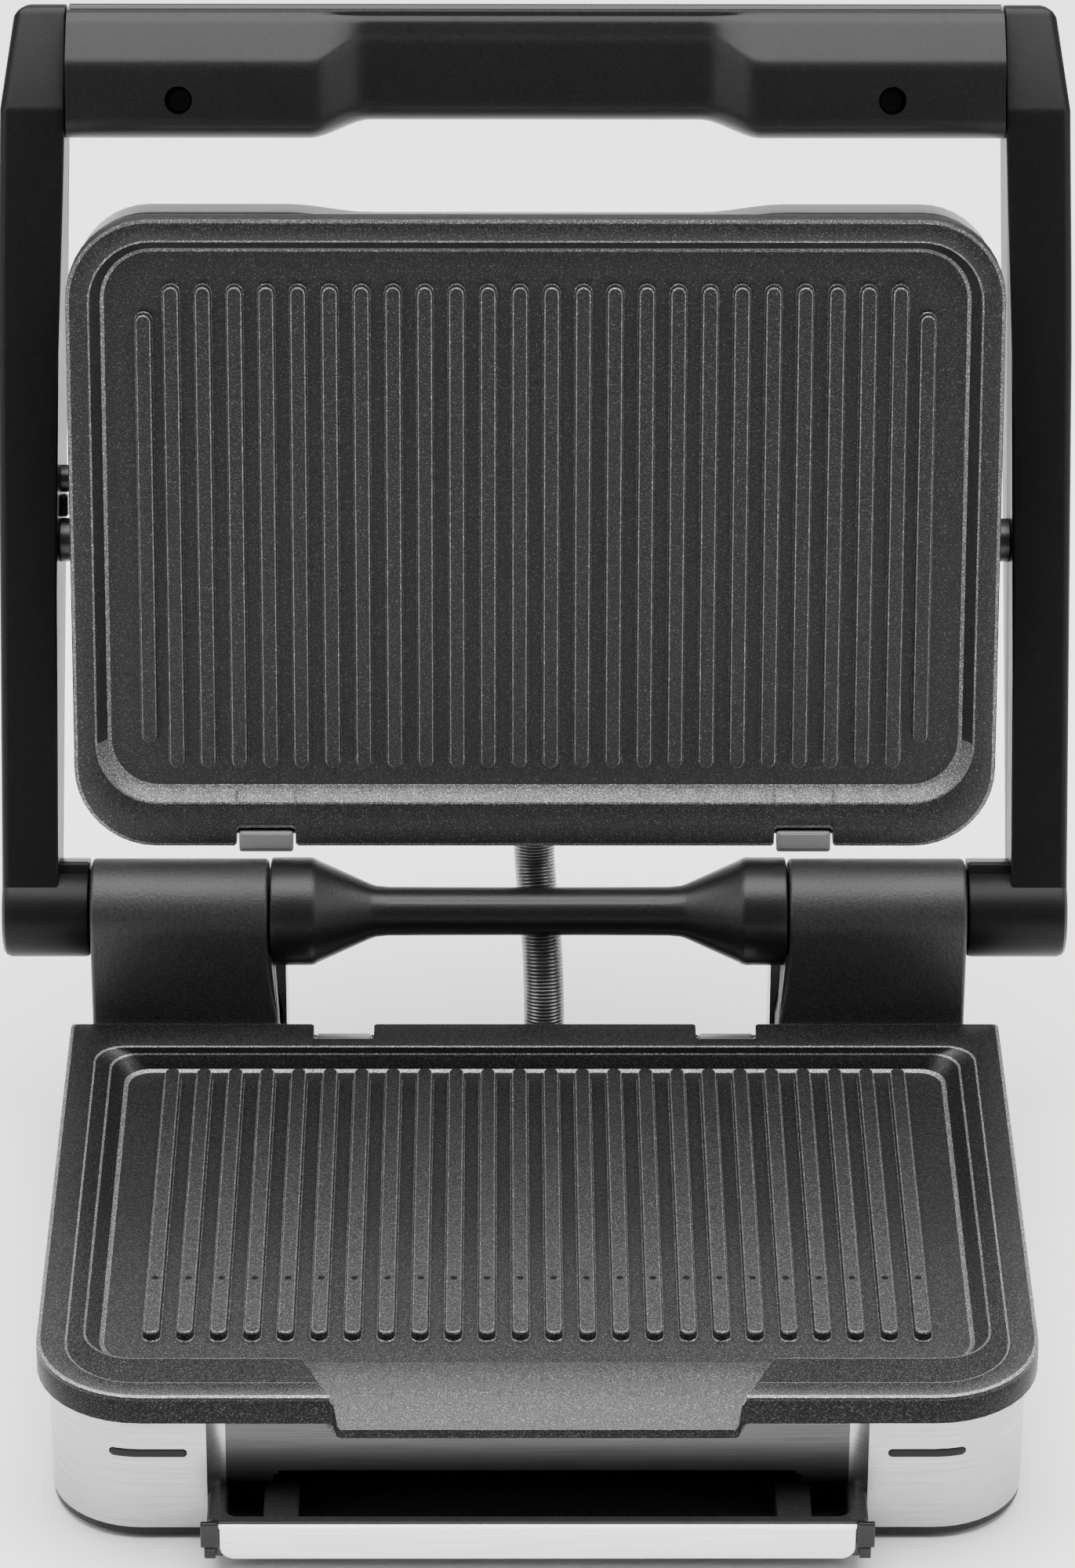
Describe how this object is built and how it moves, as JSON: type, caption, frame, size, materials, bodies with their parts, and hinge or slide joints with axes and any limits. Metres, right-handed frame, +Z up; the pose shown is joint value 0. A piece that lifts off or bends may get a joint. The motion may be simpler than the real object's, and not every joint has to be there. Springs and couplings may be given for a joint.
{
  "type": "panini press",
  "caption": "Contact grill with ribbed plates, floating lid on two arms with a bar handle, hinge posts, spring latches and a pull-out drip tray.",
  "frame": {"origin": "on the table, in the middle of the whole press as it stands with its lid open and its tray out", "axes": "+X to the user's right, +Y to the back, towards the hinge, +Z up"},
  "size_m": [0.341, 0.3736, 0.3489],
  "materials": {
    "nonstick_aluminium": "die-cast aluminium with a speckled dark non-stick coating",
    "brushed_steel": "stainless steel sheet, horizontal brush lines",
    "polished_steel": "bright, finely satined stainless steel",
    "black_plastic": "moulded glass-filled plastic, fine matt grain",
    "satin_black": "moulded plastic, satin",
    "gloss_black": "moulded plastic, glossy",
    "satin_black_metal": "steel pin, black finish",
    "latch_grey": "die-cast metal, light grey satin lacquer",
    "bright_aluminium": "plain rolled aluminium",
    "element_sheath": "oxidised steel sheath, matt",
    "ceramic_white": "steatite or white phenolic",
    "dark_lens": "smoked translucent plastic, glossy",
    "lamp": "clear glass lamp",
    "rubber": "moulded rubber, matt",
    "zinc_screw": "zinc-plated steel",
    "nylon": "natural nylon",
    "conduit_steel": "tightly wound steel strip conduit",
    "shaft_steel": "turned steel bar"
  },
  "bodies": {
    "base": {"base_tub": "black_plastic", "base_shell": "brushed_steel", "plate_carrier": "black_plastic", "lower_reflector": "bright_aluminium", "lower_heating_element": "element_sheath", "lower_thermostat": "ceramic_white", "lower_thermal_fuse": "bright_aluminium", "terminal_block": "ceramic_white", "indicator_lens_left": "dark_lens", "indicator_lens_right": "dark_lens", "indicator_lamps": "lamp", "tray_rails": "black_plastic", "feet": "rubber", "base_screws": "zinc_screw", "rear_housing": "black_plastic", "mains_gland": "rubber", "conduit_gland": "rubber", "hinge_post_left": "black_plastic", "hinge_post_right": "black_plastic", "post_cover_left": "brushed_steel", "post_cover_right": "brushed_steel", "hinge_bushes": "nylon", "lid_conduit": "conduit_steel"},
    "lid_frame": {"left_arm": "satin_black", "right_arm": "satin_black", "handle_underside": "satin_black", "handle_top_cover": "satin_black", "handle_trim": "gloss_black", "handle_screws": "satin_black_metal", "hinge_shaft": "shaft_steel", "spindle_cover": "black_plastic"},
    "upper_housing": {"lid_shell": "brushed_steel", "lid_chassis": "black_plastic", "upper_reflector": "bright_aluminium", "upper_heating_element": "element_sheath", "upper_thermal_fuse": "bright_aluminium", "pivot_pins": "satin_black_metal", "stop_pin": "satin_black_metal", "lid_gland": "rubber"},
    "upper_plate": {"upper_grill_plate": "nonstick_aluminium"},
    "lower_plate": {"lower_grill_plate": "nonstick_aluminium"},
    "upper_latch_l": {"upper_latch_left": "latch_grey"},
    "upper_latch_r": {"upper_latch_right": "latch_grey"},
    "lower_latch_l": {"lower_latch_left": "latch_grey"},
    "lower_latch_r": {"lower_latch_right": "latch_grey"},
    "tray": {"drip_tray": "gloss_black", "tray_front_strip": "polished_steel", "tray_end_caps": "gloss_black"}
  },
  "joints": [
    {"name": "lid_hinge", "type": "hinge", "parent": "base", "child": "lid_frame", "pos_m": [0, 0.05996, 0.0815], "axis": [-1, 0, 0], "range_deg": [-113.5, 0], "deforming": ["lid_conduit"]},
    {"name": "lid_float", "type": "hinge", "parent": "lid_frame", "child": "upper_housing", "pos_m": [0, 0.10761, 0.19109], "axis": [-1, 0, 0], "range_deg": [0, 11.7]},
    {"name": "upper_plate_release", "type": "slide", "parent": "upper_housing", "child": "upper_plate", "axis": [0, -0.9789, 0.2045], "range_m": [0, 0.03]},
    {"name": "lower_plate_lift", "type": "slide", "parent": "base", "child": "lower_plate", "axis": [0, 0, 1], "range_m": [0, 0.03]},
    {"name": "upper_latch_left_press", "type": "slide", "parent": "upper_housing", "child": "upper_latch_l", "axis": [0, -0.2045, -0.9789], "range_m": [0, 0.0024], "stiffness_N_per_m": 400, "springref_m": -0.001},
    {"name": "upper_latch_right_press", "type": "slide", "parent": "upper_housing", "child": "upper_latch_r", "axis": [0, -0.2045, -0.9789], "range_m": [0, 0.0024], "stiffness_N_per_m": 400, "springref_m": -0.001},
    {"name": "lower_latch_left_press", "type": "slide", "parent": "base", "child": "lower_latch_l", "axis": [0, 1, 0], "range_m": [0, 0.0032], "stiffness_N_per_m": 400, "springref_m": -0.001},
    {"name": "lower_latch_right_press", "type": "slide", "parent": "base", "child": "lower_latch_r", "axis": [0, 1, 0], "range_m": [0, 0.0032], "stiffness_N_per_m": 400, "springref_m": -0.001},
    {"name": "tray_slide", "type": "slide", "parent": "base", "child": "tray", "axis": [0, -1, 0], "range_m": [-0.0148, 0.115]}
  ],
  "couplings": [
    {"joint": "lid_float", "follows": "lid_hinge", "ratio": -0.10308}
  ]
}
